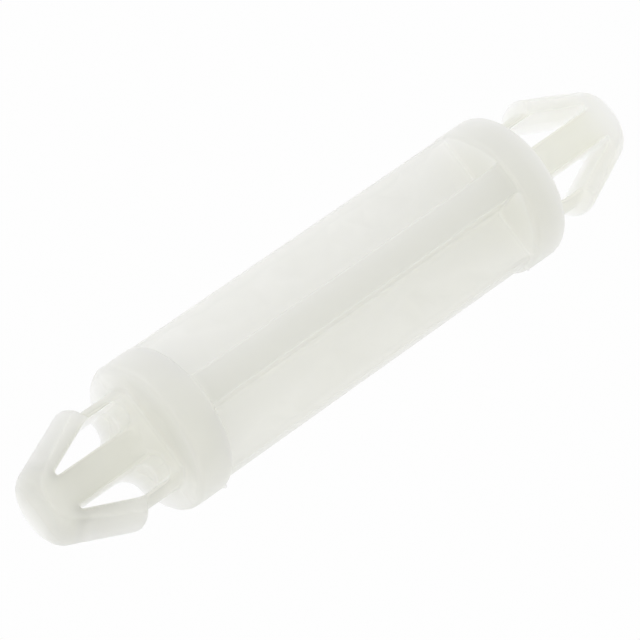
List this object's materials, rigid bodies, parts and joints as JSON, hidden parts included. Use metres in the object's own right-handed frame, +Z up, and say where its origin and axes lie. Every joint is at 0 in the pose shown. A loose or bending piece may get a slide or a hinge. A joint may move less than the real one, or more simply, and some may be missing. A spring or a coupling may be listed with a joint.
{
  "type": "pcb standoff",
  "caption": "Moulded nylon board standoff: round flanges joined by a cross-shaped body, with a slotted arrow-shaped snap head on each end that clips through a hole in a board.",
  "frame": {"origin": "below the middle of the part's length, at the height of the bench that its flange rims lie on", "axes": "+X along the part towards one head, +Y across the heads where they are widest, +Z up, in the direction the mould opens"},
  "size_m": [0.027, 0.0056, 0.0056],
  "materials": {
    "nylon": "natural off-white nylon, satin and slightly translucent"
  },
  "bodies": {
    "root": {"standoff": "nylon"}
  },
  "joints": []
}
